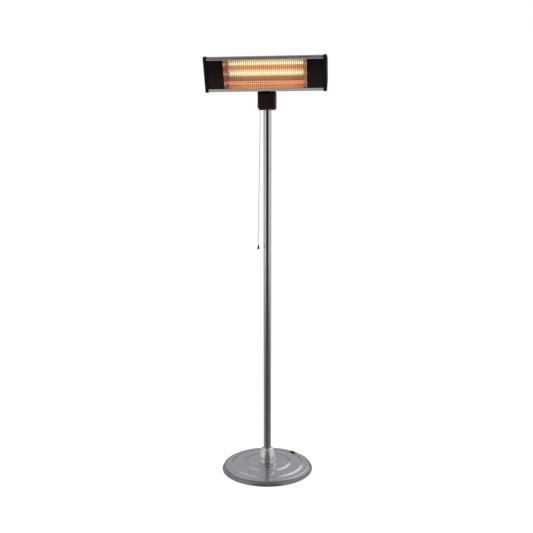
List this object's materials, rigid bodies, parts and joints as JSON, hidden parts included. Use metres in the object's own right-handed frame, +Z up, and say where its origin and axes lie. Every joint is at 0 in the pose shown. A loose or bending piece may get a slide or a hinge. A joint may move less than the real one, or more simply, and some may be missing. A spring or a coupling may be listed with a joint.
{
  "type": "infrared patio heater",
  "caption": "Free-standing electric patio heater: stepped round foot, chrome pole, plastic neck with a pull-cord switch, and a wide tilting head with quartz tubes behind a wire guard.",
  "frame": {"origin": "on the floor under the pole's axis, which is also the middle of the model's box", "axes": "+Z up the pole; the head faces -Y and leans forward; +X is to the right of someone facing the heater"},
  "size_m": [0.5624, 0.45, 1.9977],
  "materials": {
    "spun_steel": "pressed steel cover, satin chrome with fine spun rings, dusty",
    "chrome_steel": "chrome-plated steel, bright",
    "zinc_steel": "zinc-plated steel",
    "cast_iron": "raw casting",
    "black_plastic": "moulded, fine texture",
    "black_rubber": "soft black rubber",
    "anodised": "brushed and anodised",
    "polished_sheet": "polished reflector sheet",
    "quartz": "quartz glass, glowing where the tube is lit",
    "hot_wire": "coiled resistance wire, glowing",
    "ceramic": "unglazed steatite",
    "white_nylon": "natural nylon",
    "cord_weave": "braided cord"
  },
  "bodies": {
    "stand": {"ballast": "cast_iron", "base_cover": "spun_steel", "base_plate": "zinc_steel", "bell_cover": "chrome_steel", "cable_inlet": "black_rubber", "cord_bush": "black_plastic", "flange_bolt_1": "zinc_steel", "flange_bolt_2": "zinc_steel", "flange_bolt_3": "zinc_steel", "foot_1": "black_rubber", "foot_2": "black_rubber", "foot_3": "black_rubber", "friction_washer_1": "white_nylon", "friction_washer_2": "white_nylon", "hinge_bolt": "zinc_steel", "hinge_nut": "zinc_steel", "neck_screw_1": "zinc_steel", "neck_screw_2": "zinc_steel", "neck_shell_front": "black_plastic", "neck_shell_rear": "black_plastic", "plunger_spring": "zinc_steel", "pole_coupler_1": "zinc_steel", "pole_coupler_2": "zinc_steel", "pole_flange": "zinc_steel", "pole_lower": "chrome_steel", "pole_middle": "chrome_steel", "pole_plug": "zinc_steel", "pole_upper": "chrome_steel", "supply_lead": "black_rubber", "switch_body": "white_nylon", "terminal_block": "white_nylon", "tilt_yoke": "zinc_steel", "yoke_screw_1": "zinc_steel", "yoke_screw_2": "zinc_steel"},
    "head": {"head_case": "anodised", "head_tongue": "zinc_steel", "end_cap_left": "black_plastic", "end_cap_right": "black_plastic", "front_panel_left": "black_plastic", "front_panel_right": "black_plastic", "reflector": "polished_sheet", "end_wall_left": "polished_sheet", "end_wall_right": "polished_sheet", "wire_guard": "zinc_steel", "quartz_tube_1": "quartz", "quartz_tube_2": "quartz", "quartz_tube_3": "quartz", "filament_1": "hot_wire", "filament_2": "hot_wire", "filament_3": "hot_wire", "ceramic_1_left": "ceramic", "ceramic_1_right": "ceramic", "ceramic_2_left": "ceramic", "ceramic_2_right": "ceramic", "ceramic_3_left": "ceramic", "ceramic_3_right": "ceramic"},
    "pull": {"switch_plunger": "white_nylon", "pull_cord": "cord_weave", "pull_knob": "black_plastic"},
    "rotor": {"switch_rotor": "white_nylon"}
  },
  "joints": [
    {"name": "head_tilt", "type": "hinge", "parent": "stand", "child": "head", "pos_m": [0, -0.022, 1.852], "axis": [1, 0, 0], "range_deg": [-20, 20]},
    {"name": "cord_pull", "type": "slide", "parent": "stand", "child": "pull", "axis": [0, 0, -1], "range_m": [0, 0.01], "stiffness_N_per_m": 300, "springref_m": -0.002, "deforming": ["plunger_spring"]},
    {"name": "rotor_turn", "type": "hinge", "parent": "stand", "child": "rotor", "pos_m": [-0.029, -0.04, 1.798], "axis": [0, 1, 0], "continuous": true}
  ]
}
